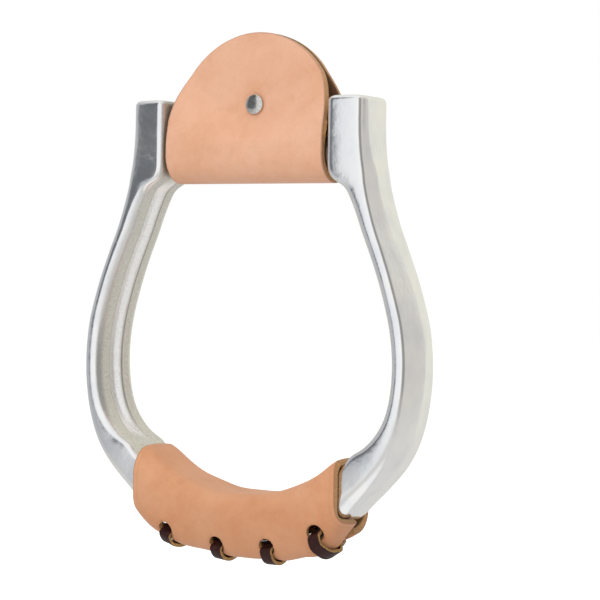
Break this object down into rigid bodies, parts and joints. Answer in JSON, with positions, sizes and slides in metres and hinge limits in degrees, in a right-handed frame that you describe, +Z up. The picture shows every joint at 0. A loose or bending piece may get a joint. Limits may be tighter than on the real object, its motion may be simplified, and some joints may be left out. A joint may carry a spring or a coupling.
{
  "type": "western stirrup",
  "caption": "Bell-shaped western stirrup: cast aluminum frame, steel neck bar, riveted leather cover folded round the bar and a leather tread cover laced underneath.",
  "frame": {"origin": "middle of the neck bar's axis", "axes": "+X along the neck bar, +Z up out of the foot opening towards the saddle, front towards -Y"},
  "size_m": [0.15, 0.0328, 0.2104],
  "materials": {
    "aluminum": "hand-polished casting",
    "bar_steel": "plain drawn rod",
    "nickel": "bright nickel plate",
    "leather": "undyed vegetable-tanned, raw edges",
    "latigo": "dark oiled lace, cut edges"
  },
  "bodies": {
    "frame": {"frame_casting": "aluminum", "neck_bar": "bar_steel", "tread_cover": "leather", "tread_lace": "latigo"},
    "cover": {"neck_cover": "leather", "rivet_cap": "nickel", "rivet_stud": "nickel"}
  },
  "joints": [
    {"name": "cover_swing", "type": "hinge", "parent": "frame", "child": "cover", "pos_m": [0, 0, 0], "axis": [1, 0, 0], "continuous": true}
  ]
}
